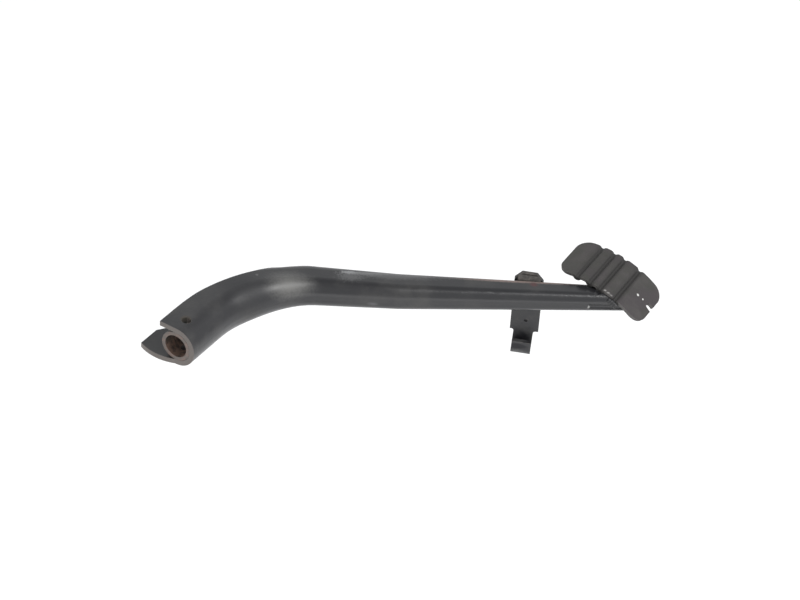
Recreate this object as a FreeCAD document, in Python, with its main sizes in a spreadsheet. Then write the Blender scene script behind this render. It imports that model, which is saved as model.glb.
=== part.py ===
import FreeCAD, Part
import math
import os
import re
import Sketcher

# A welded clutch pedal, in millimetres. The origin is the middle of the sleeve's mouth, X runs along the
# straight part of the arm to the foot plate, Y points to the open side of the pressing, and the arm's
# middle plane is Z = 0, with the face of the foot plate looking up.
doc = FreeCAD.newDocument("clutch_pedal")
sheet = doc.addObject("Spreadsheet::Sheet", "Sizes")

# Driving dimensions. Lengths are in millimetres and angles in degrees.
DRIVING = {
    # Sleeve, and the pin hole across it
    "bore_diameter": 16.0,
    "sleeve_wall": 2.5,
    "sleeve_length": 32.0,
    "pin_hole_diameter": 6.0,
    "pin_hole_setback": 10.6,
    # Course of the arm: straight socket, bend, straight shank
    "socket_run": 31.8,
    "socket_angle": 54.5,
    "bend_radius": 87.3,
    "shank_length": 202.7,
    # Section of the arm: the open socket, and the closed box that tapers from the neck past the
    # waist to the toe, where its near side is pressed in
    "sheet_gauge": 3.5,
    "seam_gap": 0.8,
    "fold_flat": 1.0,
    "socket_front_flange": 12.7,
    "socket_rear_flange": 26.6,
    "flange_hold": 18.0,
    "flange_dip": 8.8,
    "flange_dip_run": 68.5,
    "rear_dip_run": 34.0,
    "width_hold": 61.0,
    "curl_start": 77.0,
    "flange_rise_end": 106.0,
    "lip_radius": 4.6,
    "open_lip": 1.0,
    "open_lip_angle": 1.5,
    "tongue_bulge": 2.9,
    "neck_half_width": 10.5,
    "neck_depth_fold": 10.0,
    "neck_depth_lip": 15.7,
    "neck_corner": 8.8,
    "waist_run": 53.7,
    "waist_half_width": 9.3,
    "waist_depth_fold": 11.8,
    "waist_depth_lip": 11.0,
    "waist_corner": 7.3,
    "toe_half_width": 6.6,
    "toe_depth_fold": 8.4,
    "toe_depth_lip": 6.8,
    "toe_corner": 5.1,
    "scoop_run": 25.0,
    "scoop_radius": 2.6,
    "scoop_depth": 1.0,
    "scoop_drop": 1.6,
    # Foot plate
    "plate_length": 68.0,
    "plate_width": 38.8,
    "plate_gauge": 2.0,
    "plate_arch_radius": 71.5,
    "plate_corner": 9.5,
    "plate_turn": 33.0,
    "plate_tilt": 16.0,
    "plate_from_toe": 5.9,
    "plate_offset": 12.9,
    "plate_rise": 9.4,
    "groove_depth": 1.6,
    "groove_root": 1.4,
    "groove_shoulder": 2.6,
    "first_lobe": 15.4,
    "second_lobe": 9.4,
    "third_lobe": 8.0,
    "fourth_lobe": 12.2,
    "notch_width": 4.6,
    "notch_depth": 5.0,
    "notch_offset": 0.4,
    # Hook strap
    "strap_gauge": 3.0,
    "strap_width": 19.2,
    "strap_fit": 0.1,
    "strap_turn": 11.0,
    "strap_from_toe": 62.5,
    "crown_height": 9.2,
    "crown_width": 10.0,
    "crown_clip": 5.2,
    "tab_drop": 37.6,
    "tab_width": 19.1,
    "tab_shift": 1.4,
    "hook_width": 13.2,
    "hook_shift": 1.0,
    "hook_drop": 48.2,
    "hook_gap": 5.0,
    "hook_lip": 6.4,
    "pip_diameter": 2.6,
    "pip_depth": 0.8,
    "pip_drop": 29.0,
    "pip_shift": 1.7,
    "step_radius": 1.5,
    # Weld beads
    "bead_inset": 2.0,
    "bead_pin_gap": 0.4,
    "bead_foot": 5.9,
    "bead_leg": 6.6,
    "bead_crown": 2.2,
    "strap_bead_radius": 2.6,
    "strap_bead_length": 15.0,
    "strap_bead_out": 1.6,
    "strap_bead_up": 6.2,
    "near_bead_radius": 1.8,
    "near_bead_sink": 1.6,
    "near_bead_overhang": 0.6,
    "near_bead_back": 2.0,
    "near_bead_run": 7.5,
    "far_bead_radius": 2.4,
    "far_bead_sink": 2.4,
    "far_bead_start": 20.0,
    "far_bead_run": 14.0,
}
for row, (name, number) in enumerate(DRIVING.items(), start=1):
    sheet.set(f"A{row}", name)
    sheet.set(f"B{row}", str(number))
    sheet.setAlias(f"B{row}", name)
doc.recompute()


def bound(text):
    """Turn a formula in the sizes' names into one that the document can evaluate."""
    return re.sub(r"[a-z_]+", lambda word: f"Sizes.{word[0]}" if word[0] in DRIVING else word[0], text)


def value(text):
    """The number that a formula in the sizes' names stands for."""
    answer = sheet.evalExpression(bound(text))
    return float(getattr(answer, "Value", answer))


def new_body(label):
    """A body for one piece, named after it."""
    body = doc.addObject("PartDesign::Body", label)
    body.Label = label
    return body


def new_sketch(body, name, placement):
    """A sketch on the body's ground plane, moved to its own place."""
    ground = [plane for plane in body.Origin.OriginFeatures if plane.Role == "XY_Plane"][0]
    sketch = body.newObject("Sketcher::SketchObject", name)
    sketch.AttachmentSupport = [(ground, "")]
    sketch.MapMode = "FlatFace"
    sketch.AttachmentOffset = placement
    return sketch


def fix_point(sketch, geometry, end, x, y):
    """Tie one end of an edge to the sketch's origin by two formulas."""
    for kind, formula in (("DistanceX", x), ("DistanceY", y)):
        index = sketch.addConstraint(
            Sketcher.Constraint(kind, -1, 1, geometry, end, value(formula)))
        sketch.setExpression(f"Constraints[{index}]", bound(formula))


def draw_outline(sketch, edges):
    """Draw a closed outline. Each edge runs from the last one's end to (x, y).

    An edge is (x, y) for a line, or (x, y, radius, turn) for an arc, where the turn is 1 to the left
    and -1 to the right.
    """
    corners = [FreeCAD.Vector(value(edge[0]), value(edge[1]), 0) for edge in edges]
    first_edge = sketch.GeometryCount
    starts = []
    ends = []
    for index, edge in enumerate(edges):
        start = corners[index - 1]
        end = corners[index]
        if len(edge) == 2:
            sketch.addGeometry(Part.LineSegment(start, end))
            starts.append(1)
            ends.append(2)
            continue
        radius = value(edge[2])
        turn = edge[3]
        chord = end - start
        across = FreeCAD.Vector(-chord.y, chord.x, 0) * (turn / chord.Length)
        lift = math.sqrt(max(radius ** 2 - (chord.Length / 2) ** 2, 0))
        centre = (start + end) / 2 + across * lift
        first, last = (start, end) if turn > 0 else (end, start)
        angles = [math.atan2(point.y - centre.y, point.x - centre.x) for point in (first, last)]
        circle = Part.Circle(centre, FreeCAD.Vector(0, 0, 1), radius)
        sketch.addGeometry(Part.ArcOfCircle(circle, angles[0], angles[1]))
        starts.append(1 if turn > 0 else 2)
        ends.append(2 if turn > 0 else 1)
    for index, edge in enumerate(edges):
        before = (index - 1) % len(edges)
        here = first_edge + index
        sketch.addConstraint(Sketcher.Constraint(
            "Coincident", first_edge + before, ends[before], here, starts[index]))
        fix_point(sketch, here, ends[index], edge[0], edge[1])
        if len(edge) == 4:
            number = sketch.addConstraint(Sketcher.Constraint("Radius", here, value(edge[2])))
            sketch.setExpression(f"Constraints[{number}]", bound(edge[2]))


def draw_circle(sketch, x, y, diameter):
    """Draw one circle whose middle and diameter are formulas."""
    centre = FreeCAD.Vector(value(x), value(y), 0)
    circle = Part.Circle(centre, FreeCAD.Vector(0, 0, 1), value(diameter) / 2)
    index = sketch.addGeometry(circle)
    fix_point(sketch, index, 3, x, y)
    number = sketch.addConstraint(Sketcher.Constraint("Diameter", index, value(diameter)))
    sketch.setExpression(f"Constraints[{number}]", bound(diameter))


def pad(body, name, sketch, length, middle=False):
    """Raise a sketch to a solid."""
    feature = body.newObject("PartDesign::Pad", name)
    feature.Profile = sketch
    feature.setExpression("Length", bound(length))
    feature.Midplane = middle
    doc.recompute()
    return feature


def pocket(body, name, sketch, length):
    """Cut a sketch away to both sides of its plane, and make sure that it cut something."""
    before = body.Shape.Volume
    feature = body.newObject("PartDesign::Pocket", name)
    feature.Profile = sketch
    feature.setExpression("Length", bound(length))
    feature.Midplane = True
    doc.recompute()
    if not feature.Shape.Volume < before:
        raise ValueError(f"{name} cuts nothing")
    return feature


# The course of the arm: a point and a heading for each distance from the mouth.
HEADING = math.radians(value("socket_angle"))
BEND = value("bend_radius")
SOCKET = value("socket_run")
BEND_CENTRE = FreeCAD.Vector(
    SOCKET * math.cos(HEADING) + BEND * math.sin(HEADING),
    SOCKET * math.sin(HEADING) - BEND * math.cos(HEADING),
    0)
SHANK_Y = BEND_CENTRE.y + BEND
NECK = SOCKET + BEND * HEADING
TOE_X = BEND_CENTRE.x + value("shank_length")

# How many spans the lofts of the arm's open socket and of its bend have.
SOCKET_STEPS = 4
BEND_STEPS = 8


def course(distance):
    """The point of the arm's centre line at a distance from the mouth, and its heading there."""
    if distance <= SOCKET:
        along = FreeCAD.Vector(math.cos(HEADING), math.sin(HEADING), 0)
        return along * distance, HEADING
    if distance <= NECK:
        angle = HEADING - (distance - SOCKET) / BEND
        return BEND_CENTRE + FreeCAD.Vector(-math.sin(angle), math.cos(angle), 0) * BEND, angle
    return BEND_CENTRE + FreeCAD.Vector(distance - NECK, BEND, 0), 0.0


def across(distance):
    """The plane square to the centre line: its X points to the open side and its Y is up."""
    point, heading = course(distance)
    open_side = FreeCAD.Vector(-math.sin(heading), math.cos(heading), 0)
    up = FreeCAD.Vector(0, 0, 1)
    return FreeCAD.Placement(point, FreeCAD.Rotation(open_side, up, open_side.cross(up), "ZXY"))


SLEEVE_RADIUS = "(bore_diameter / 2 + sleeve_wall)"
SOCKET_HALF = f"({SLEEVE_RADIUS} + sheet_gauge)"
SOCKET_FOLD = f"({SOCKET_HALF} - fold_flat / 2)"


def eased(distance, start, end):
    """How far a change that begins and ends softly has got, from 0 at the start to 1 at the end."""
    share = min(max((distance - start) / (end - start), 0.0), 1.0)
    return share * share * (3 - 2 * share)


def blend(first, last, share):
    """A size between two others."""
    return f"({first} + ({last} - {first}) * {share:.5f})"


def channel_edges(half, fold_side, corner, front, rear, lip_radius, lip_length, lip_angle):
    """The outline of the folded sheet: one flange, the fold and the other flange, each with its lip."""

    def lip(sign, reach):
        """The tip, the bend's end and the bend's start of one lip: outer skin, then inner skin."""
        base = f"({reach} - {lip_radius} * sin({lip_angle}) - {lip_length} * cos({lip_angle}))"
        points = []
        for inset in ("0", "sheet_gauge"):
            radius = f"({lip_radius} - {inset})"
            bend_x = f"({base} + {radius} * sin({lip_angle}))"
            bend_y = f"({half} - {lip_radius} + {radius} * cos({lip_angle}))"
            tip_x = f"({bend_x} + {lip_length} * cos({lip_angle}))"
            tip_y = f"({bend_y} - {lip_length} * sin({lip_angle}))"
            points += [(tip_x, sign + tip_y), (bend_x, sign + bend_y), (base, f"{sign}({half} - {inset})")]
        return points

    upper = lip("", front)
    lower = lip("-", rear)
    inner_back = f"(sheet_gauge - {fold_side})"
    turn_x = f"({corner} - {fold_side})"
    turn_y = f"({half} - {corner})"
    inner_lip = f"({lip_radius} - sheet_gauge)"
    inner_corner = f"({corner} - sheet_gauge)"
    return [
        upper[0],
        upper[1],
        (*upper[2], lip_radius, 1),
        (turn_x, half),
        (f"-{fold_side}", turn_y, corner, 1),
        (f"-{fold_side}", f"-{turn_y}"),
        (turn_x, f"-{half}", corner, 1),
        lower[2],
        (*lower[1], lip_radius, 1),
        lower[0],
        lower[3],
        lower[4],
        (*lower[5], inner_lip, -1),
        (turn_x, f"sheet_gauge - {half}"),
        (inner_back, f"-{turn_y}", inner_corner, -1),
        (inner_back, turn_y),
        (turn_x, f"{half} - sheet_gauge", inner_corner, -1),
        upper[5],
        (*upper[4], inner_lip, -1),
        upper[3],
    ]


def closed_lip(half, lip_radius):
    """The length of a lip that reaches to the seam once it is bent square."""
    return f"({half} - {lip_radius} - seam_gap / 2)"


def shank_size(size, run):
    """One size of the closed box at a distance past the neck."""
    waist = value("waist_run")
    if run < waist:
        return blend(f"neck_{size}", f"waist_{size}", run / waist)
    return blend(f"waist_{size}", f"toe_{size}", (run - waist) / (value("shank_length") - waist))


def section_sizes(distance):
    """The sizes of the arm's section at a distance from the mouth."""
    if distance > NECK:
        half, fold_side, reach, corner = (
            shank_size(size, distance - NECK)
            for size in ("half_width", "depth_fold", "depth_lip", "corner"))
        return half, fold_side, corner, reach, reach, corner, closed_lip(half, corner), "90"
    narrowing = eased(distance, value("width_hold"), NECK)
    curling = eased(distance, value("curl_start"), NECK)
    hold = value("flange_hold")
    dip_end = value("flange_dip_run")
    front = blend("socket_front_flange", "flange_dip", eased(distance, hold, dip_end))
    rear = blend("socket_rear_flange", "flange_dip", eased(distance, hold, value("rear_dip_run")))
    rise = eased(distance, value("curl_start"), value("flange_rise_end"))
    half = blend(SOCKET_HALF, "neck_half_width", narrowing)
    lip_radius = blend("lip_radius", "neck_corner", curling)
    return (
        half,
        blend(SOCKET_HALF, "neck_depth_fold", narrowing),
        blend(SOCKET_FOLD, "neck_corner", narrowing),
        blend(front, "neck_depth_lip", rise),
        blend(rear, "neck_depth_lip", rise),
        lip_radius,
        blend("open_lip", closed_lip(half, lip_radius), curling),
        blend("open_lip_angle", "90", curling),
    )


def pedal_arm():
    """The pressing: a loft through sections of the folded sheet, from the open socket to the closed toe."""
    body = new_body("pedal_arm")
    stretches = {
        "socket": [SOCKET * step / SOCKET_STEPS for step in range(SOCKET_STEPS + 1)],
        "bend": [SOCKET + (NECK - SOCKET) * step / BEND_STEPS for step in range(BEND_STEPS + 1)],
        "shank": [NECK, NECK + value("waist_run"), NECK + value("shank_length")],
    }
    for stretch, distances in stretches.items():
        sections = []
        for number, distance in enumerate(distances, start=1):
            section = new_sketch(body, f"{stretch}_section_{number}", across(distance))
            draw_outline(section, channel_edges(*section_sizes(distance)))
            sections.append(section)
        doc.recompute()
        loft = body.newObject("PartDesign::AdditiveLoft", f"{stretch}_loft")
        loft.Profile = sections[0]
        loft.Sections = sections[1:]
        loft.Ruled = stretch != "bend"
        loft.Closed = False
        doc.recompute()

    tongue = new_sketch(body, "rear_tongue_outline", rear_flange_plane())
    draw_outline(tongue, [
        ("0", "-sheet_gauge"),
        ("socket_rear_flange - sheet_gauge", "-sheet_gauge"),
        ("socket_rear_flange", "0"),
        ("0", "0", "((socket_rear_flange / 2) ^ 2 + tongue_bulge ^ 2) / (2 * tongue_bulge)", 1),
    ])
    pad(body, "rear_tongue", tongue, "sheet_gauge")

    pin_spot = new_sketch(body, "arm_pin_spot", FreeCAD.Placement())
    draw_circle(pin_spot, "pin_hole_setback * cos(socket_angle)", "pin_hole_setback * sin(socket_angle)",
                "pin_hole_diameter")
    pocket(body, "arm_pin_hole", pin_spot, f"4 * {SOCKET_HALF}")

    scoop = new_sketch(body, "scoop_profile", across(NECK + value("shank_length")))
    draw_circle(scoop, "scoop_depth - scoop_radius - toe_depth_fold", "-scoop_drop", "2 * scoop_radius")
    pocket(body, "near_side_scoop", scoop, "2 * scoop_run")

    seat = new_sketch(body, "plate_seat_profile", plate_section())
    draw_outline(seat, seat_profile())
    pocket(body, "plate_seat", seat, "3 * plate_width")
    return body


def rear_flange_plane():
    """The plane of the rear flange's outer skin, with X to the open side and Y out of the mouth."""
    mouth = across(0)
    skin = mouth.multVec(FreeCAD.Vector(0, -value(SOCKET_HALF), 0))
    open_side = mouth.Rotation.multVec(FreeCAD.Vector(1, 0, 0))
    out = course(SOCKET)[0] * -1
    return FreeCAD.Placement(skin, FreeCAD.Rotation(open_side, out, open_side.cross(out), "ZXY"))


def pivot_sleeve():
    """The tube that lies in the fold, flush with the arm's cut end."""
    body = new_body("pivot_sleeve")
    ring = new_sketch(body, "sleeve_ring", across(0))
    draw_circle(ring, "0", "0", f"2 * {SLEEVE_RADIUS}")
    draw_circle(ring, "0", "0", "bore_diameter")
    wall = pad(body, "sleeve_wall_pad", ring, "sleeve_length")
    middle = course(value("sleeve_length") / 2)[0]
    if (wall.Shape.CenterOfMass - middle).Length > value("sleeve_wall"):
        wall.Reversed = True
        doc.recompute()
    pin_spot = new_sketch(body, "sleeve_pin_spot", FreeCAD.Placement())
    draw_circle(pin_spot, "pin_hole_setback * cos(socket_angle)", "pin_hole_setback * sin(socket_angle)",
                "pin_hole_diameter")
    pocket(body, "sleeve_pin_hole", pin_spot, f"4 * {SOCKET_HALF}")
    return body


def plate_place():
    """Where the middle of the plate's top lies, and how it is turned and tilted."""
    point = FreeCAD.Vector(TOE_X - value("plate_from_toe"), SHANK_Y + value("plate_offset"),
                           value("plate_rise"))
    return FreeCAD.Placement(point, FreeCAD.Rotation(-value("plate_turn"), value("plate_tilt"), 0))


def plate_section():
    """The plane of the plate's side profile: X along the plate and Y out of its face."""
    return plate_place().multiply(FreeCAD.Placement(FreeCAD.Vector(), FreeCAD.Rotation(0, 0, 90)))


ARCH = "1 deg * 180 / pi / plate_arch_radius"
PLATE_START = "(-plate_length / 2)"
GROOVES = [
    f"({PLATE_START} + first_lobe)",
    f"({PLATE_START} + first_lobe + second_lobe)",
    f"({PLATE_START} + first_lobe + second_lobe + third_lobe)",
    f"({PLATE_START} + first_lobe + second_lobe + third_lobe + fourth_lobe)",
]
SHOULDER_RADIUS = "(plate_arch_radius - groove_shoulder)"
ROOT_RADIUS = "(plate_arch_radius - groove_depth + groove_root)"
REACH_SQUARED = "(groove_shoulder + groove_root) ^ 2"
GROOVE_HALF_ANGLE = (f"acos(({SHOULDER_RADIUS} ^ 2 + {ROOT_RADIUS} ^ 2 - {REACH_SQUARED})"
                     f" / (2 * {SHOULDER_RADIUS} * {ROOT_RADIUS}))")


def polar(radius, angle):
    """A point of the plate's profile, at an angle round the middle of the arch."""
    return f"{radius} * sin({angle})", f"{radius} * cos({angle}) - plate_arch_radius"


def arch_skin(inset, grooves, start):
    """One skin of the plate, from a start angle to its far end: an arch with rounded grooves."""
    surface = f"(plate_arch_radius - {inset})"
    shoulder = f"(groove_shoulder - {inset})"
    root = f"(groove_root + {inset})"
    edges = [polar(surface, start)]
    for groove in grooves:
        angle = f"{groove} * {ARCH}"
        for side in (-1, 1):
            lean = f"({angle} + {side} * {GROOVE_HALF_ANGLE})"
            top = polar(SHOULDER_RADIUS, lean)
            bottom = polar(ROOT_RADIUS, f"({angle})")
            span = [f"(({b}) - ({a}))" for a, b in zip(top, bottom)]
            reach = f"({shoulder} / (groove_shoulder + groove_root))"
            joint = [f"({a}) + {reach} * {d}" for a, d in zip(top, span)]
            crest = polar(surface, lean)
            if side < 0:
                edges.append((*crest, surface, -1))
                edges.append((*joint, shoulder, -1))
            else:
                edges.append((*joint, root, 1))
                edges.append((*crest, shoulder, -1))
    edges.append((*polar(surface, f"-{PLATE_START} * {ARCH}"), surface, -1))
    return edges


def seat_profile():
    """The space that the arm has to leave for the plate, from the end of the second groove on."""
    height = "(4 * plate_gauge + groove_depth)"
    under = arch_skin("plate_gauge", GROOVES[2:], f"({GROOVES[1]} * {ARCH} + {GROOVE_HALF_ANGLE})")
    return under + [(under[-1][0], height), (under[0][0], height)]


def plate_profile():
    """The plate's side profile: its face, and its underside one gauge below."""
    start = f"{PLATE_START} * {ARCH}"
    under = arch_skin("plate_gauge", GROOVES, start)
    over = arch_skin("0", GROOVES, start)
    back = []
    for index in range(len(under) - 1, 0, -1):
        target = under[index - 1][:2]
        edge = under[index]
        back.append((*target, edge[2], -edge[3]) if len(edge) == 4 else target)
    return over + [under[-1][:2]] + back


def foot_plate():
    """The arched plate: its side profile raised across its width, with round corners and a notch."""
    body = new_body("foot_plate")
    profile = new_sketch(body, "plate_profile", plate_section())
    draw_outline(profile, plate_profile())
    pad(body, "plate_pressing", profile, "plate_width", middle=True)
    end_angle = f"(-{PLATE_START} * {ARCH})"
    end_x = f"(plate_arch_radius * sin({end_angle}))"
    slot = new_sketch(body, "notch_outline", plate_place())
    near = "(notch_offset - notch_width / 2)"
    far = "(notch_offset + notch_width / 2)"
    bottom = f"({end_x} - notch_depth)"
    turn = f"({bottom} + notch_width / 2)"
    outside = f"({end_x} + notch_depth)"
    draw_outline(slot, [
        (outside, near),
        (outside, far),
        (turn, far),
        (turn, near, "notch_width / 2 + 0.001", 1),
    ])
    notched = pocket(body, "plate_notch", slot, "2 * plate_arch_radius")
    corners = body.newObject("PartDesign::Fillet", "plate_corners")
    corners.Base = (notched, corner_edges(notched.Shape))
    corners.setExpression("Radius", bound("plate_corner"))
    doc.recompute()
    return body


def corner_edges(shape):
    """The four short edges through the plate's thickness at its corners."""
    inverse = plate_place().inverse()
    half = value("plate_width") / 2
    end = value("plate_length") / 2 * 0.8
    names = []
    for index, edge in enumerate(shape.Edges, start=1):
        points = [inverse.multVec(vertex.Point) for vertex in edge.Vertexes]
        short = edge.Length < 1.5 * value("plate_gauge")
        outside = all(abs(abs(point.y) - half) < 0.01 and abs(point.x) > end for point in points)
        if short and outside:
            names.append(f"Edge{index}")
    return names


def strap_point(along, out, up):
    """A point given along the strap's width, out from its front face and up."""
    turn = math.radians(value("strap_turn"))
    half = value("strap_width") / 2
    nearest = value("shank_length") - value("strap_from_toe") + half * math.cos(turn)
    lip = value(shank_size("depth_lip", nearest))
    front_x = TOE_X - value("strap_from_toe")
    front_y = SHANK_Y + lip + half * math.sin(turn) + value("strap_fit")
    return FreeCAD.Vector(
        front_x + along * math.cos(turn) + out * math.sin(turn),
        front_y - along * math.sin(turn) + out * math.cos(turn),
        up)


def strap_plane(x_axis, y_axis):
    """A plane through the strap's own origin, with its axes given in the strap's directions."""
    origin = strap_point(0, 0, 0)
    x_way = strap_point(*x_axis) - origin
    y_way = strap_point(*y_axis) - origin
    return FreeCAD.Placement(origin, FreeCAD.Rotation(x_way, y_way, x_way.cross(y_way), "ZXY"))


def hook_strap():
    """The strip: bent to a hook at its foot, then its crown clipped and its foot stepped in."""
    body = new_body("hook_strap")
    side = new_sketch(body, "strap_side", strap_plane((0, 1, 0), (0, 0, 1)))
    outer = "(hook_gap / 2 + strap_gauge)"
    middle = "(-hook_gap / 2)"
    lip_front = "(-hook_gap - strap_gauge)"
    draw_outline(side, [
        ("0", "crown_height"),
        ("strap_gauge", "crown_height"),
        ("strap_gauge", "-hook_drop"),
        (middle, f"-hook_drop - {outer}", outer, -1),
        (lip_front, "-hook_drop", outer, -1),
        (lip_front, "hook_lip - hook_drop"),
        ("-hook_gap", "hook_lip - hook_drop"),
        ("-hook_gap", "-hook_drop"),
        (middle, "-hook_drop - hook_gap / 2", "hook_gap / 2", 1),
        ("0", "-hook_drop", "hook_gap / 2", 1),
    ])
    pad(body, "strap_strip", side, "strap_width + 2 * tab_shift", middle=True)
    front = new_sketch(body, "strap_trim", strap_plane((1, 0, 0), (0, 0, 1)))
    outside = "(strap_width / 2 + 2 * tab_shift)"
    below = f"(-hook_drop - 2 * {outer})"
    above = "(crown_height + strap_gauge)"
    for sign, turn in (("-", -1), ("+", 1)):
        hook_edge = f"(hook_shift {sign} hook_width / 2)"
        draw_outline(front, [
            (f"0 {sign} {outside}", below),
            (f"0 {sign} {outside}", above),
            (f"0 {sign} crown_width / 2", above),
            (f"0 {sign} crown_width / 2", "crown_height"),
            (f"0 {sign} strap_width / 2", "crown_height - crown_clip"),
            (f"tab_shift {sign} tab_width / 2", "-tab_drop"),
            (f"{hook_edge} {sign} step_radius", "-tab_drop"),
            (hook_edge, "-tab_drop - step_radius", "step_radius", turn),
            (hook_edge, below),
        ])
    pocket(body, "strap_outline", front, "4 * (hook_gap + 2 * strap_gauge)")
    pip = new_sketch(body, "strap_pip", strap_plane((1, 0, 0), (0, 0, 1)))
    draw_circle(pip, "pip_shift", "-pip_drop", "pip_diameter")
    pocket(body, "strap_pip_dent", pip, "2 * pip_depth")
    return body


def sleeve_weld(label, side):
    """A bead that fills the groove between the sleeve and one flange."""
    body = new_body(label)
    point, heading = course(value("bead_inset"))
    place = across(value("bead_inset"))
    outline = new_sketch(body, f"{label}_outline", place)
    sign = "" if side > 0 else "-"
    rim = SLEEVE_RADIUS
    start = "(pin_hole_diameter / 2 + bead_pin_gap)"
    draw_outline(outline, [
        (start, f"{sign}{rim}"),
        (start, f"{sign}sqrt({rim} ^ 2 - {start} ^ 2)"),
        ("bead_foot", f"{sign}sqrt({rim} ^ 2 - bead_foot ^ 2)", rim, -side),
        ("bead_leg", f"{sign}{rim}", "bead_crown", side),
    ])
    bead = pad(body, f"{label}_bead", outline, "sleeve_length - 2 * bead_inset")
    if (bead.Shape.CenterOfMass - point).dot(course(SOCKET)[0]) < 0:
        bead.Reversed = True
        doc.recompute()
    return body


def trimmed(label, bead, neighbours):
    """What is left of a bead outside the pieces that it joins."""
    rest = bead
    for number, neighbour in enumerate(neighbours, start=1):
        cut = doc.addObject("Part::Cut", f"{label}_cut_{number}")
        cut.Base = rest
        cut.Tool = neighbour
        rest = cut
    rest.Label = label
    doc.recompute()
    return rest


def strap_weld(label, side, arm, strap):
    """A bead across the strap's front face, in the groove over or under the arm's round corner."""
    bead = doc.addObject("Part::Cylinder", f"{label}_bead")
    bead.setExpression("Radius", bound("strap_bead_radius"))
    bead.setExpression("Height", bound("strap_bead_length"))
    start = strap_point(-value("strap_bead_length") / 2, -value("strap_bead_out"),
                        side * value("strap_bead_up"))
    along = strap_point(1, 0, 0) - strap_point(0, 0, 0)
    bead.Placement = FreeCAD.Placement(start, FreeCAD.Rotation(FreeCAD.Vector(0, 0, 1), along))
    return trimmed(label, bead, [arm, strap])


def plate_weld_near(arm, plate):
    """The bead under the plate's near edge, curved like the plate, where that edge crosses the arm.

    It starts a little before the place where the edge leaves the arm's side.
    """
    crossing = "((plate_offset + toe_depth_fold - plate_width / 2 * cos(plate_turn)) / sin(plate_turn))"
    start = value(f"{crossing} - near_bead_back")
    bead = doc.addObject("Part::Torus", "plate_weld_near_bead")
    bead.setExpression("Radius1", bound("plate_arch_radius - plate_gauge - near_bead_sink"))
    bead.setExpression("Radius2", bound("near_bead_radius"))
    bead.setExpression("Angle3", bound(f"near_bead_run * {ARCH}"))
    edge = FreeCAD.Vector(0, -value("plate_width / 2 + near_bead_overhang"), -value("plate_arch_radius"))
    first = FreeCAD.Rotation(FreeCAD.Vector(0, 1, 0), math.degrees(start / value("plate_arch_radius")))
    lay = FreeCAD.Rotation(FreeCAD.Vector(0, 0, 1), FreeCAD.Vector(1, 0, 0), FreeCAD.Vector(0, 1, 0), "ZXY")
    bead.Placement = plate_place().multiply(FreeCAD.Placement(edge, first.multiply(lay)))
    return trimmed("plate_weld_near", bead, [arm, plate])


def under_plate(x, y):
    """The point of the plate's smooth underside above or below a place on the ground."""
    place = plate_place()
    reach = value("plate_arch_radius") - value("plate_gauge")
    centre = place.multVec(FreeCAD.Vector(0, 0, -value("plate_arch_radius")))
    axis = place.Rotation.multVec(FreeCAD.Vector(0, 1, 0))
    flat = FreeCAD.Vector(x, y, centre.z) - centre
    flat = flat - axis * flat.dot(axis)
    along = FreeCAD.Vector(flat.x, flat.y, 0)
    return FreeCAD.Vector(x, y, centre.z + math.sqrt(reach ** 2 - along.Length ** 2))


def plate_weld_far(arm, plate):
    """The bead between the plate's underside and the arm's far side."""
    side_y = SHANK_Y + value("toe_depth_lip")
    start_x = TOE_X - value("far_bead_start")
    sink = FreeCAD.Vector(0, 0, value("far_bead_sink"))
    first = under_plate(start_x, side_y) - sink
    last = under_plate(start_x + value("far_bead_run"), side_y) - sink
    bead = doc.addObject("Part::Cylinder", "plate_weld_far_bead")
    bead.setExpression("Radius", bound("far_bead_radius"))
    bead.Height = (last - first).Length
    bead.Placement = FreeCAD.Placement(first, FreeCAD.Rotation(FreeCAD.Vector(0, 0, 1), last - first))
    return trimmed("plate_weld_far", bead, [arm, plate])


arm_piece = pedal_arm()
plate_piece = foot_plate()
strap_piece = hook_strap()
PIECES = [
    arm_piece,
    pivot_sleeve(),
    plate_piece,
    strap_piece,
    sleeve_weld("sleeve_weld_upper", 1),
    sleeve_weld("sleeve_weld_lower", -1),
    strap_weld("strap_weld_upper", 1, arm_piece, strap_piece),
    strap_weld("strap_weld_lower", -1, arm_piece, strap_piece),
    plate_weld_near(arm_piece, plate_piece),
    plate_weld_far(arm_piece, plate_piece),
]

doc.recompute()
for thing in doc.Objects:
    if "Invalid" in thing.State or "Error" in thing.State:
        raise ValueError(f"{thing.Label} did not compute")
os.makedirs("parts", exist_ok=True)
for piece in PIECES:
    if piece.Shape.isNull() or not piece.Shape.isValid():
        raise ValueError(f"{piece.Label} has no valid shape")
    piece.Shape.exportStep(f"parts/{piece.Label}.step")
    print(f"{piece.Label}: {len(piece.Shape.Solids)} solid, {piece.Shape.Volume:.0f} cubic mm")
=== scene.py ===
import math

import bmesh
import bpy
from mathutils import Matrix, Vector


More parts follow.
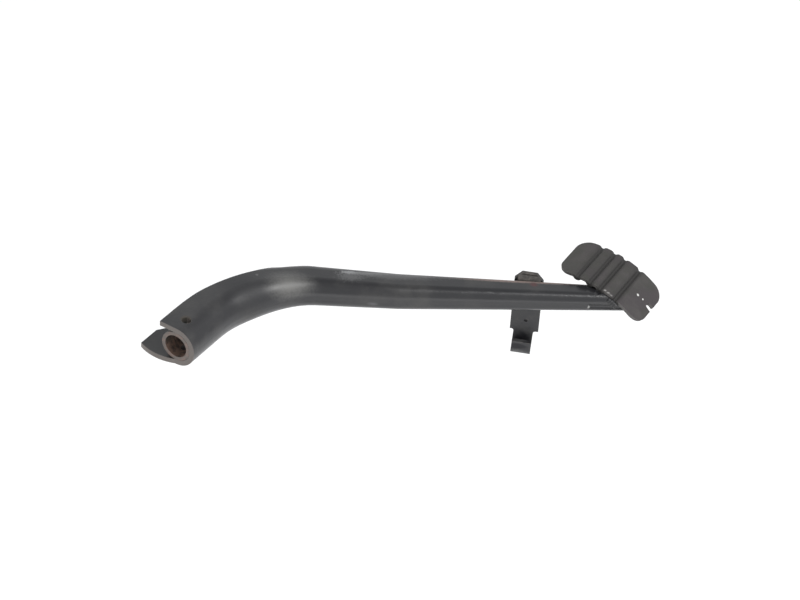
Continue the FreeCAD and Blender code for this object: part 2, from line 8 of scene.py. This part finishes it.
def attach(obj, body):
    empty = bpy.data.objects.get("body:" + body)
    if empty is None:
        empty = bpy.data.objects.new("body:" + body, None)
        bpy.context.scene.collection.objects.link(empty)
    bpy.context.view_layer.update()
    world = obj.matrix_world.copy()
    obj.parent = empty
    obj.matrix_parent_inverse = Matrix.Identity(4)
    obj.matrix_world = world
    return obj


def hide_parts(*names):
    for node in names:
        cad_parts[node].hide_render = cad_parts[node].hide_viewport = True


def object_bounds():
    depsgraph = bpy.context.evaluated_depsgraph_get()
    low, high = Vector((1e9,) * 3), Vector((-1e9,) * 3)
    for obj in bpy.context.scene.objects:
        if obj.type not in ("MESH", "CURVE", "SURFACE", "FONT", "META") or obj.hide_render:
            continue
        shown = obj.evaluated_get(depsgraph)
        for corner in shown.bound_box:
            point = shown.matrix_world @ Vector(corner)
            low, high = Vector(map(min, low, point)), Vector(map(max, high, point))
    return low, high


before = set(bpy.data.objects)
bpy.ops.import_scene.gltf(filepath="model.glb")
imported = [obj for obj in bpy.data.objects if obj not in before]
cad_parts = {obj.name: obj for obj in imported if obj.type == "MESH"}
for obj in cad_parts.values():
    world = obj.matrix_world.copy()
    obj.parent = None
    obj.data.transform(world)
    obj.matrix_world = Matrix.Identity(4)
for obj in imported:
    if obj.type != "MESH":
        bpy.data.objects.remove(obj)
cad_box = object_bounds()

# The pedal arm is one pressing of 3.5 mm sheet steel. It is folded round the sleeve at its lower end,
# bent, and curled shut to a tapering box, then dipped in satin black paint. The paint is thin on the
# edges, and the sawn end at the mouth shows brownish steel.
MOUTH_TURN = math.radians(54.5)
OUT_OF_MOUTH = Vector((-math.cos(MOUTH_TURN), -math.sin(MOUTH_TURN), 0.0))
PAINT_IOR = 1.5
DUST_SHARE = 0.5
GLOSS_SPREAD = 0.12
CLOUD_RELIEF = 0.4
GRAIN_DEPTH = 0.0004
EDGE_STARTS = 0.95
EDGE_FULL = 0.84
FACING_STARTS = 0.85
FACING_FULL = 0.92
MIX_BELOW = 6
MIX_ABOVE = 7
MIX_RESULT = 2
BLACK_PAINT = (0.014, 0.014, 0.016, 1.0)
THIN_PAINT = (0.030, 0.029, 0.029, 1.0)
BARE_STEEL = (0.120, 0.104, 0.094, 1.0)
PINK_RUST = (0.165, 0.118, 0.102, 1.0)


def new_group(name, inputs, outputs):
    """An empty node group. Inputs are (name, kind, value) and outputs (name, kind)."""
    group = bpy.data.node_groups.new(name, "ShaderNodeTree")
    for label, kind, start in inputs:
        socket = group.interface.new_socket(label, in_out="INPUT", socket_type=kind)
        socket.default_value = start
    for label, kind in outputs:
        group.interface.new_socket(label, in_out="OUTPUT", socket_type=kind)
    return group, group.nodes.new("NodeGroupInput"), group.nodes.new("NodeGroupOutput")


def add_node(tree, kind, values=None, **settings):
    """A node with its settings and the values of its sockets."""
    node = tree.nodes.new(kind)
    for key, setting in settings.items():
        setattr(node, key, setting)
    for key, start in (values or {}).items():
        node.inputs[key].default_value = start
    return node


def ramp(tree, low, high, value):
    """A smooth step of a value from 0 at the low mark to 1 at the high mark."""
    step = add_node(tree, "ShaderNodeMapRange", {"From Min": low, "From Max": high},
                    interpolation_type="SMOOTHSTEP")
    tree.links.new(value, step.inputs["Value"])
    return step.outputs["Result"]


def combine(tree, operation, first, second):
    """One step of arithmetic on two values, each a socket or a number."""
    node = add_node(tree, "ShaderNodeMath", operation=operation)
    for index, term in enumerate((first, second)):
        if isinstance(term, (int, float)):
            node.inputs[index].default_value = term
        else:
            tree.links.new(term, node.inputs[index])
    return node.outputs["Value"]


def layer(tree, mask, below, above):
    """One colour over another, where the mask says so. Each is a socket or a colour."""
    mix = add_node(tree, "ShaderNodeMix", data_type="RGBA")
    tree.links.new(mask, mix.inputs["Factor"])
    for index, colour in ((MIX_BELOW, below), (MIX_ABOVE, above)):
        if isinstance(colour, tuple):
            mix.inputs[index].default_value = colour
        else:
            tree.links.new(colour, mix.inputs[index])
    return mix.outputs[MIX_RESULT]


def paint_film_group():
    """The paint's cloudy tone, its fine orange peel and the dust in it."""
    group, given, made = new_group(
        "paint_film",
        [("Deep", "NodeSocketColor", BLACK_PAINT), ("Tint", "NodeSocketColor", BLACK_PAINT),
         ("Thin", "NodeSocketColor", THIN_PAINT), ("Roughness", "NodeSocketFloat", 0.34),
         ("Cloud Scale", "NodeSocketFloat", 60.0)],
        [("Color", "NodeSocketColor"), ("Roughness", "NodeSocketFloat"), ("Height", "NodeSocketFloat")])
    place = add_node(group, "ShaderNodeTexCoord").outputs["Object"]
    drift = add_node(group, "ShaderNodeTexNoise", {"Scale": 55.0, "Detail": 2.0})
    clouds = add_node(group, "ShaderNodeTexNoise", {"Detail": 5.0, "Roughness": 0.6})
    peel = add_node(group, "ShaderNodeTexNoise", {"Scale": 900.0, "Detail": 2.0})
    dust = add_node(group, "ShaderNodeTexNoise", {"Scale": 2600.0, "Detail": 1.0})
    for noise in (drift, clouds, peel, dust):
        group.links.new(place, noise.inputs["Vector"])
    group.links.new(given.outputs["Cloud Scale"], clouds.inputs["Scale"])
    tinted = layer(group, ramp(group, 0.40, 0.60, drift.outputs["Fac"]),
                   given.outputs["Deep"], given.outputs["Tint"])
    cloudy = ramp(group, 0.42, 0.72, clouds.outputs["Fac"])
    tone = layer(group, cloudy, tinted, given.outputs["Thin"])
    specks = ramp(group, 0.68, 0.78, dust.outputs["Fac"])
    group.links.new(layer(group, combine(group, "MULTIPLY", specks, DUST_SHARE), tone, THIN_PAINT),
                    made.inputs["Color"])
    uneven = combine(group, "MULTIPLY", cloudy, GLOSS_SPREAD)
    group.links.new(combine(group, "ADD", given.outputs["Roughness"], uneven), made.inputs["Roughness"])
    swell = combine(group, "MULTIPLY", clouds.outputs["Fac"], CLOUD_RELIEF)
    grain = combine(group, "ADD", swell, peel.outputs["Fac"])
    group.links.new(grain, made.inputs["Height"])
    return group


def edge_wear_group():
    """Where the paint is rubbed thin: a broken line along every sharp edge."""
    group, given, made = new_group(
        "edge_wear",
        [("Reach", "NodeSocketFloat", 0.0009), ("Amount", "NodeSocketFloat", 0.6)],
        [("Mask", "NodeSocketFloat")])
    soft = add_node(group, "ShaderNodeBevel", samples=8)
    group.links.new(given.outputs["Reach"], soft.inputs["Radius"])
    sharp = add_node(group, "ShaderNodeNewGeometry")
    product = add_node(group, "ShaderNodeVectorMath", operation="DOT_PRODUCT")
    group.links.new(soft.outputs["Normal"], product.inputs[0])
    group.links.new(sharp.outputs["Normal"], product.inputs[1])
    edge = ramp(group, EDGE_STARTS, EDGE_FULL, product.outputs["Value"])
    place = add_node(group, "ShaderNodeTexCoord").outputs["Object"]
    breaks = add_node(group, "ShaderNodeTexNoise", {"Scale": 420.0, "Detail": 4.0})
    group.links.new(place, breaks.inputs["Vector"])
    broken = ramp(group, 0.40, 0.62, breaks.outputs["Fac"])
    worn = combine(group, "MULTIPLY", edge, broken)
    group.links.new(combine(group, "MULTIPLY", worn, given.outputs["Amount"]), made.inputs["Mask"])
    return group


def spot_group():
    """A ragged spot round one place, such as a chip, a stain, the heat mark of a weld, or a painted
    highlight or shade.
    """
    group, given, made = new_group(
        "spot",
        [("Centre", "NodeSocketVector", (0.0, 0.0, 0.0)), ("Radii", "NodeSocketVector", (1.0, 1.0, 1.0)),
         ("Edge", "NodeSocketFloat", 0.7), ("Raggedness", "NodeSocketFloat", 0.9)],
        [("Mask", "NodeSocketFloat")])
    place = add_node(group, "ShaderNodeTexCoord").outputs["Object"]
    away = add_node(group, "ShaderNodeVectorMath", operation="SUBTRACT")
    group.links.new(place, away.inputs[0])
    group.links.new(given.outputs["Centre"], away.inputs[1])
    shrunk = add_node(group, "ShaderNodeVectorMath", operation="DIVIDE")
    group.links.new(away.outputs["Vector"], shrunk.inputs[0])
    group.links.new(given.outputs["Radii"], shrunk.inputs[1])
    length = add_node(group, "ShaderNodeVectorMath", operation="LENGTH")
    group.links.new(shrunk.outputs["Vector"], length.inputs[0])
    share = length.outputs["Value"]
    rag = add_node(group, "ShaderNodeTexNoise", {"Scale": 700.0, "Detail": 3.0})
    group.links.new(place, rag.inputs["Vector"])
    off = combine(group, "SUBTRACT", rag.outputs["Fac"], 0.5)
    ragged = combine(group, "ADD", share, combine(group, "MULTIPLY", off, given.outputs["Raggedness"]))
    inner = combine(group, "SUBTRACT", 1.0, given.outputs["Edge"])
    fade = add_node(group, "ShaderNodeMapRange", {"From Max": 1.0, "To Min": 1.0, "To Max": 0.0},
                    interpolation_type="SMOOTHSTEP")
    group.links.new(ragged, fade.inputs["Value"])
    group.links.new(inner, fade.inputs["From Min"])
    group.links.new(fade.outputs["Result"], made.inputs["Mask"])
    return group


PAINT_FILM = paint_film_group()
EDGE_WEAR = edge_wear_group()
SPOT = spot_group()


def use_group(tree, group, **values):
    """One use of a node group, with its own values. Underscores in a name stand for spaces."""
    node = tree.nodes.new("ShaderNodeGroup")
    node.node_tree = group
    for key, start in values.items():
        node.inputs[key.replace("_", " ")].default_value = start
    return node


def new_material(name):
    """A material with its shader and the tree that feeds it."""
    material = bpy.data.materials.new(name)
    material.use_nodes = True
    return material, material.node_tree, material.node_tree.nodes["Principled BSDF"]


def facing(tree, direction):
    """A mask of the faces that look in one direction."""
    normal = add_node(tree, "ShaderNodeTexCoord").outputs["Normal"]
    along = add_node(tree, "ShaderNodeVectorMath", {1: direction}, operation="DOT_PRODUCT")
    tree.links.new(normal, along.inputs[0])
    return ramp(tree, FACING_STARTS, FACING_FULL, along.outputs["Value"])


def raise_grain(tree, shader, height, strength, distance):
    """Bump from a height over the surface."""
    bump = add_node(tree, "ShaderNodeBump", {"Strength": strength, "Distance": distance})
    tree.links.new(height, bump.inputs["Height"])
    tree.links.new(bump.outputs["Normal"], shader.inputs["Normal"])


def mark(centre, radii, colour, dullness=0.5, edge=0.7, rag=0.9):
    """A place where the paint differs: its shape in metres, its colour and its roughness."""
    return {"Centre": centre, "Radii": radii, "Edge": edge, "Raggedness": rag}, colour, dullness


def painted_steel(name, film, marks=(), wear=0.6, bare_and_lit_side=None, grain=0.12):
    """Black paint over steel: the film, the marks on it, some of them painted highlight and shade, the
    rubbed edges and one side in its own colour, bare steel or painted light.
    """
    material, tree, shader = new_material(name)
    shader.inputs["IOR"].default_value = PAINT_IOR
    paint = use_group(tree, PAINT_FILM, **film)
    colour = paint.outputs["Color"]
    roughness = paint.outputs["Roughness"]
    for shape, tint, dullness in marks:
        there = use_group(tree, SPOT, **shape).outputs["Mask"]
        colour = layer(tree, there, colour, tint)
        dulled = add_node(tree, "ShaderNodeMapRange", {"To Max": dullness})
        tree.links.new(there, dulled.inputs["Value"])
        tree.links.new(roughness, dulled.inputs["To Min"])
        roughness = dulled.outputs["Result"]
    rubbed = use_group(tree, EDGE_WEAR, Amount=wear)
    colour = layer(tree, rubbed.outputs["Mask"], colour, BARE_STEEL)
    if bare_and_lit_side:
        direction, side_colour = bare_and_lit_side
        colour = layer(tree, facing(tree, direction), colour, side_colour)
    tree.links.new(colour, shader.inputs["Base Color"])
    tree.links.new(roughness, shader.inputs["Roughness"])
    raise_grain(tree, shader, paint.outputs["Height"], grain, GRAIN_DEPTH)
    return material


def dress(node, material):
    """Give a CAD piece its material."""
    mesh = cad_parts[node].data
    mesh.materials.clear()
    mesh.materials.append(material)


# The arm's marks: a pale strip on the far edge past the neck, partly paint rubbed to bright steel and
# partly a painted highlight on the rounded edge, a line of primer along that edge, the strap's heat mark,
# a painted highlight of pale paint on the bend with duller paint darkened as painted shade before it, and
# a painted highlight at the start of the pressed-in side's lip. The lower pin hole's wall is painted dark
# as shade, and the upper one's rim is stained brown.
RUBBED_PAINT_AND_SHEEN = (0.075, 0.075, 0.077, 1.0)
RUBBED_STEEL_AND_SHEEN = (0.230, 0.232, 0.236, 1.0)
PAINTED_BEND_HIGHLIGHT = (0.125, 0.123, 0.118, 1.0)
PRIMER = (0.170, 0.128, 0.115, 1.0)
HEAT_MARK = (0.060, 0.026, 0.027, 1.0)
PAINTED_LIP_HIGHLIGHT = (0.36, 0.36, 0.35, 1.0)
# The lower pin hole's wall, painted dark as shade.
HOLE_PAINTED_SHADE = (0.012, 0.006, 0.005, 1.0)
LOWER_PIN_HOLE = mark((0.0058, 0.0100, -0.0120), (0.0050, 0.0050, 0.0046), HOLE_PAINTED_SHADE, 1.0, 0.3, 0.2)
HOLE_STAIN = (0.050, 0.044, 0.036, 1.0)
UPPER_PIN_HOLE = mark((0.0058, 0.0100, 0.0130), (0.0044, 0.0044, 0.0050), HOLE_STAIN, 0.9, 0.5, 0.5)
ARM_MARKS = (
    # Painted shade: duller paint, darker than the film, before the bend's highlight.
    mark((0.0440, 0.0450, 0.0060), (0.0260, 0.0190, 0.0160), BLACK_PAINT, 0.62, 0.8, 0.35),
    # Painted highlight: pale paint on the crest of the bend.
    mark((0.0715, 0.0540, 0.0085), (0.0230, 0.0160, 0.0100), PAINTED_BEND_HIGHLIGHT, 0.50, 1.0, 0.35),
    mark((0.1115, 0.0640, 0.0100), (0.0120, 0.0065, 0.0040), RUBBED_PAINT_AND_SHEEN, 0.55, 0.8, 1.6),
    # Pale strip on the far edge: partly rubbed paint and steel, partly a painted highlight on the rounded
    # edge.
    mark((0.1110, 0.0680, 0.0100), (0.0075, 0.0024, 0.0024), RUBBED_STEEL_AND_SHEEN, 0.45, 0.9, 1.4),
    mark((0.1350, 0.0674, 0.0093), (0.0380, 0.0030, 0.0034), RUBBED_STEEL_AND_SHEEN, 0.45, 0.9, 0.9),
    mark((0.1400, 0.0662, 0.0092), (0.0440, 0.0052, 0.0032), RUBBED_PAINT_AND_SHEEN, 0.55, 1.0, 0.9),
    mark((0.2230, 0.0670, 0.0074), (0.0600, 0.0026, 0.0032), PRIMER, 0.7, 0.7, 0.7),
    mark((0.2316, 0.0640, 0.0077), (0.0036, 0.0034, 0.0030), HEAT_MARK, 0.6),
    mark((0.0508, 0.0581, 0.0133), (0.0014, 0.0014, 0.0014), RUBBED_PAINT_AND_SHEEN),
    mark((0.1264, 0.0513, -0.0024), (0.0050, 0.0022, 0.0022), RUBBED_PAINT_AND_SHEEN, 0.5, 1.0, 0.6),
    # Painted highlight at the start of the pressed-in lip.
    mark((0.2679, 0.0550, -0.0023), (0.0014, 0.0030, 0.0014), PAINTED_LIP_HIGHLIGHT),
    LOWER_PIN_HOLE,
    UPPER_PIN_HOLE,
)
dress("pedal_arm", painted_steel("arm_paint", {"Roughness": 0.28, "Cloud_Scale": 45.0},
                                 marks=ARM_MARKS, wear=0.35, bare_and_lit_side=(OUT_OF_MOUTH, BARE_STEEL)))

# The sleeve is a short thick-walled tube that lies in the fold and slides on the end of the cross
# shaft. Its sawn rim is bare steel with a tint of rust, and its bore is brown below and dark above.
BORE_RUST = (0.165, 0.105, 0.080, 1.0)
BORE_DARK = (0.024, 0.024, 0.020, 1.0)
RUST_STARTS = 0.003
RUST_FULL = -0.005
RUST_BETWEEN_PATCHES = 0.35
RUST_DEPTH = 0.0006
SLEEVE_GRAIN = 0.35
SLEEVE_ROUGHNESS = 0.62


def sleeve_steel():
    """Rusty bare steel, brighter on the rim and dark in the upper half of the bore."""
    material, tree, shader = new_material("sleeve_steel")
    place = add_node(tree, "ShaderNodeTexCoord").outputs["Object"]
    blotches = add_node(tree, "ShaderNodeTexNoise", {"Scale": 260.0, "Detail": 6.0, "Roughness": 0.65})
    tree.links.new(place, blotches.inputs["Vector"])
    patch = ramp(tree, 0.40, 0.62, blotches.outputs["Fac"])
    axes = add_node(tree, "ShaderNodeSeparateXYZ")
    tree.links.new(place, axes.inputs["Vector"])
    low_side = ramp(tree, RUST_STARTS, RUST_FULL, axes.outputs["Z"])
    rusting = combine(tree, "ADD", patch, RUST_BETWEEN_PATCHES)
    bore = layer(tree, combine(tree, "MULTIPLY", low_side, rusting), BORE_DARK, BORE_RUST)
    rim = layer(tree, patch, BARE_STEEL, PINK_RUST)
    colour = layer(tree, facing(tree, OUT_OF_MOUTH), bore, rim)
    # The lower pin hole's wall is painted dark as shade here as well.
    shape, hole_shade, _ = LOWER_PIN_HOLE
    hole = use_group(tree, SPOT, **shape)
    tree.links.new(layer(tree, hole.outputs["Mask"], colour, hole_shade), shader.inputs["Base Color"])
    shader.inputs["Roughness"].default_value = SLEEVE_ROUGHNESS
    raise_grain(tree, shader, blotches.outputs["Fac"], SLEEVE_GRAIN, RUST_DEPTH)
    return material


dress("pivot_sleeve", sleeve_steel())

# The foot plate is a 2 mm pressing, arched along its length, with four grooves across it and a notch
# in its far end. Its paint is matt and has a warm cast, and two chips show the bright steel.
WARM_PAINT = (0.031, 0.025, 0.027, 1.0)
GREENISH_PAINT = (0.026, 0.025, 0.021, 1.0)
WORN_PLATE_PAINT = (0.046, 0.041, 0.040, 1.0)
CHIPPED_STEEL = (0.60, 0.60, 0.58, 1.0)
# Painted light: the plate's near edge face is made lighter, as light falls on it, over its sheared steel.
SHEARED_EDGE_PAINTED_LIGHT = (0.078, 0.074, 0.071, 1.0)
PLATE_TURN = math.radians(33.0)
NEAR_EDGE = Vector((-math.sin(PLATE_TURN), -math.cos(PLATE_TURN), 0.0))
ALONG_PLATE = Vector((math.cos(PLATE_TURN), -math.sin(PLATE_TURN), 0.0))
GROOVE_PLACES = (0.1808, 0.1900, 0.1976, 0.2088)
# Painted shade along the plate's grooves: how far it reaches, how strong it is and its colour.
SHADE_REACH = 0.0042
SHADE_SHARE = 0.9
GROOVE_SHADE = (0.010, 0.009, 0.008, 1.0)
SCRAPED_EDGE_AND_SHEEN = (0.30, 0.29, 0.28, 1.0)
PLATE_MARKS = (
    mark((0.3015, 0.0649, 0.0011), (0.0013, 0.0013, 0.0013), CHIPPED_STEEL),
    mark((0.3050, 0.0634, -0.0014), (0.0008, 0.0008, 0.0008), CHIPPED_STEEL),
    # Light spots on the near edge: partly scraped paint, partly a painted highlight.
    mark((0.2776, 0.0588, 0.0088), (0.0020, 0.0011, 0.0011), SCRAPED_EDGE_AND_SHEEN, 0.5, 1.0),
    mark((0.2797, 0.0573, 0.0079), (0.0020, 0.0011, 0.0011), SCRAPED_EDGE_AND_SHEEN, 0.5, 1.0),
    mark((0.2818, 0.0558, 0.0071), (0.0020, 0.0011, 0.0011), SCRAPED_EDGE_AND_SHEEN, 0.5, 1.0),
)


def groove_shade(tree):
    """A mask of painted shade that lies along the bottoms of the plate's grooves."""
    along = add_node(tree, "ShaderNodeVectorMath", {1: ALONG_PLATE}, operation="DOT_PRODUCT")
    tree.links.new(add_node(tree, "ShaderNodeTexCoord").outputs["Object"], along.inputs[0])
    shade = 0.0
    for groove in GROOVE_PLACES:
        off = combine(tree, "SUBTRACT", along.outputs["Value"], groove)
        near = ramp(tree, SHADE_REACH, 0.0, combine(tree, "ABSOLUTE", off, 0.0))
        shade = combine(tree, "MAXIMUM", near, shade)
    return combine(tree, "MULTIPLY", shade, SHADE_SHARE)


# The plate's near edge face is painted lighter, as light falls on it.
plate_paint = painted_steel(
    "plate_paint",
    {"Deep": WARM_PAINT, "Tint": GREENISH_PAINT, "Thin": WORN_PLATE_PAINT, "Roughness": 0.52,
     "Cloud_Scale": 70.0},
    marks=PLATE_MARKS, wear=0.6, bare_and_lit_side=(NEAR_EDGE, SHEARED_EDGE_PAINTED_LIGHT), grain=0.25)
# The plate's colour is darkened along its grooves as painted shade.
plate_tree = plate_paint.node_tree
plate_colour = plate_tree.nodes["Principled BSDF"].inputs["Base Color"]
unshaded_colour = plate_colour.links[0].from_socket
shaded_colour = layer(plate_tree, groove_shade(plate_tree), unshaded_colour, GROOVE_SHADE)
plate_tree.links.new(shaded_colour, plate_colour)
dress("foot_plate", plate_paint)

# The hook strap is one 3 mm strip, welded upright across the far side of the arm. Its crown is clipped
# at both corners, and its foot is stepped in and turned up to a hook. It has the arm's own paint.
SCALE_BROWN = (0.098, 0.088, 0.080, 1.0)
SCALE_DARK = (0.042, 0.038, 0.035, 1.0)
# Worn paint on the hook, with a painted highlight and a painted reflection.
HOOK_WEAR_AND_SHEEN = (0.058, 0.058, 0.058, 1.0)
STRAP_MARKS = (
    mark((0.2262, 0.0745, 0.0080), (0.0130, 0.0050, 0.0060), SCALE_DARK, 0.85, 0.4, 0.8),
    mark((0.2232, 0.0745, 0.0085), (0.0036, 0.0040, 0.0036), SCALE_BROWN, 0.85, 0.9, 1.6),
    mark((0.2300, 0.0745, 0.0075), (0.0040, 0.0040, 0.0036), SCALE_BROWN, 0.85, 0.9, 1.6),
    mark((0.2275, 0.0657, -0.0455), (0.0120, 0.0030, 0.0030), BLACK_PAINT, 0.85, 0.5, 0.3),
    # A painted reflection: the hook's bottom bend made lighter.
    mark((0.2275, 0.0655, -0.0499), (0.0090, 0.0040, 0.0022), HOOK_WEAR_AND_SHEEN, 0.5, 0.9, 1.3),
    # The lip's top edge: worn paint and a painted highlight.
    mark((0.2275, 0.0665, -0.0418), (0.0090, 0.0030, 0.0008), HOOK_WEAR_AND_SHEEN, 0.5, 0.9, 0.5),
)
dress("hook_strap", painted_steel("strap_paint", {"Roughness": 0.44, "Cloud_Scale": 140.0},
                                  marks=STRAP_MARKS, wear=0.7))

# Six weld beads, each with the ripple that the weld pool leaves every 1.6 mm along its run. Those on
# the plate and below the strap are painted over, the one at the crown is scaled brown by its heat,
# and the two at the sleeve are worn and rusty.
RIPPLE_PITCH = 0.0016
RIPPLE_HEIGHT = 0.00018
CUTS_PER_RIPPLE = 4
MERGE_REACH = 0.000001
SHARP_TURN = math.radians(50.0)
ALONG_CROWN = Vector((0.990, -0.139, 0.0)).normalized()
ALONG_NEAR_BEAD = Vector((0.776, -0.277, -0.567)).normalized()
ALONG_FAR_BEAD = Vector((0.989, 0.036, -0.144)).normalized()


def rippled_bead(node, run, finish):
    """The bead's own form, cut across its run and swelled by a ripple at each pitch."""
    shell = bmesh.new()
    shell.from_mesh(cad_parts[node].data)
    bmesh.ops.remove_doubles(shell, verts=shell.verts, dist=MERGE_REACH)
    places = [vert.co.dot(run) for vert in shell.verts]
    start = min(places)
    step = RIPPLE_PITCH / CUTS_PER_RIPPLE
    for count in range(1, math.ceil((max(places) - start) / step)):
        bmesh.ops.bisect_plane(shell, geom=shell.verts[:] + shell.edges[:] + shell.faces[:],
                               plane_co=run * (start + count * step), plane_no=run)
    shell.normal_update()
    for vert in shell.verts:
        turn = math.tau * (vert.co.dot(run) - start) / RIPPLE_PITCH
        vert.co += vert.normal * RIPPLE_HEIGHT * (1.0 - math.cos(turn)) / 2
    mesh = bpy.data.meshes.new(node + "_rippled")
    shell.to_mesh(mesh)
    shell.free()
    mesh.shade_smooth()
    mesh.set_sharp_from_angle(angle=SHARP_TURN)
    mesh.materials.append(finish)
    bead = bpy.data.objects.new(node + "_rippled", mesh)
    bpy.context.collection.objects.link(bead)
    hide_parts(node)
    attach(bead, "root")


weld_paint = painted_steel("weld_paint", {"Roughness": 0.45, "Cloud_Scale": 300.0}, wear=0.3, grain=0.4)
scaled_weld = painted_steel(
    "scaled_weld",
    {"Deep": SCALE_DARK, "Tint": SCALE_BROWN, "Thin": SCALE_BROWN, "Roughness": 0.8, "Cloud_Scale": 320.0},
    wear=0.2, grain=0.8)
worn_weld = painted_steel(
    "worn_weld",
    {"Deep": SCALE_DARK, "Tint": BARE_STEEL, "Thin": PINK_RUST, "Roughness": 0.6, "Cloud_Scale": 280.0},
    wear=0.4, grain=0.5)
rippled_bead("sleeve_weld_upper", OUT_OF_MOUTH, worn_weld)
rippled_bead("sleeve_weld_lower", OUT_OF_MOUTH, worn_weld)
rippled_bead("strap_weld_upper", ALONG_CROWN, scaled_weld)
rippled_bead("strap_weld_lower", ALONG_CROWN, weld_paint)
rippled_bead("plate_weld_near", ALONG_NEAR_BEAD, weld_paint)
rippled_bead("plate_weld_far", ALONG_FAR_BEAD, weld_paint)

# A pale floor well below the pedal and even light from all round. A soft lamp high on the right makes
# the highlight on the bend of the arm, and a weak one low in front lifts the near side.
FLOOR_DROP = 0.30
FLOOR_REACH = 6.0
FLOOR_GREY = (0.86, 0.86, 0.86, 1.0)
FLOOR_ROUGHNESS = 0.9
FLOOR_GLOW = 0.12
WHITE = (1.0, 1.0, 1.0, 1.0)
WALL_LIGHT = (0.98, 0.99, 1.00, 1.0)
CEILING_LIGHT = (0.50, 0.505, 0.51, 1.0)
CEILING_STARTS = 0.60
CEILING_FULL = 0.95
middle = (Vector(cad_box[0]) + Vector(cad_box[1])) / 2

floor_mesh = bpy.data.meshes.new("floor")
sheet = bmesh.new()
bmesh.ops.create_grid(sheet, x_segments=1, y_segments=1, size=FLOOR_REACH,
                      matrix=Matrix.Translation((middle.x, middle.y, cad_box[0][2] - FLOOR_DROP)))
sheet.to_mesh(floor_mesh)
sheet.free()
floor = bpy.data.objects.new("floor", floor_mesh)
bpy.context.collection.objects.link(floor)
floor_paint, _, floor_shader = new_material("floor_paint")
floor_shader.inputs["Base Color"].default_value = FLOOR_GREY
floor_shader.inputs["Roughness"].default_value = FLOOR_ROUGHNESS
floor_shader.inputs["Emission Color"].default_value = WHITE
floor_shader.inputs["Emission Strength"].default_value = FLOOR_GLOW
floor_mesh.materials.append(floor_paint)


def softbox(name, place, width, depth, power):
    """A soft rectangular lamp that looks at the middle of the pedal and isn't seen by the camera."""
    lamp = bpy.data.lights.new(name, "AREA")
    lamp.shape = "RECTANGLE"
    lamp.size = width
    lamp.size_y = depth
    lamp.energy = power
    box = bpy.data.objects.new(name, lamp)
    box.visible_camera = False
    box.location = place
    box.rotation_euler = (middle - Vector(place)).to_track_quat("-Z", "Y").to_euler()
    bpy.context.collection.objects.link(box)


softbox("lamp_over_bend", (1.41, -0.72, 2.10), width=0.8, depth=0.8, power=40.0)
softbox("lamp_low_front", (0.15, -0.50, -0.26), width=1.0, depth=0.3, power=0.9)

world = bpy.data.worlds.new("studio")
world.use_nodes = True
room = world.node_tree
towards = add_node(room, "ShaderNodeSeparateXYZ")
room.links.new(add_node(room, "ShaderNodeTexCoord").outputs["Generated"], towards.inputs["Vector"])
overhead = ramp(room, CEILING_STARTS, CEILING_FULL, towards.outputs["Z"])
room.links.new(layer(room, overhead, WALL_LIGHT, CEILING_LIGHT), room.nodes["Background"].inputs["Color"])
bpy.context.scene.world = world
bpy.context.scene.view_settings.view_transform = "Standard"

# The camera stands 1.6 m off with a long lens. Its place and turn were fitted to the pedal's outline in
# the photograph.
CAMERA_PLACE = Vector((-0.0121, -1.2083, 1.0009))
CAMERA_RIGHT = Vector((0.9949, -0.0568, 0.0835))
CAMERA_UP = Vector((-0.0299, 0.6235, 0.7812))
LENS_MM = 112.5
SENSOR_MM = 36.0
SIGHT = 50.0
view = bpy.data.cameras.new("camera")
view.lens = LENS_MM
view.sensor_width = SENSOR_MM
view.clip_end = SIGHT
camera = bpy.data.objects.new("camera", view)
camera.matrix_world = Matrix.Translation(CAMERA_PLACE) @ Matrix(
    (CAMERA_RIGHT, CAMERA_UP, CAMERA_RIGHT.cross(CAMERA_UP))).transposed().to_4x4()
bpy.context.collection.objects.link(camera)
bpy.context.scene.camera = camera
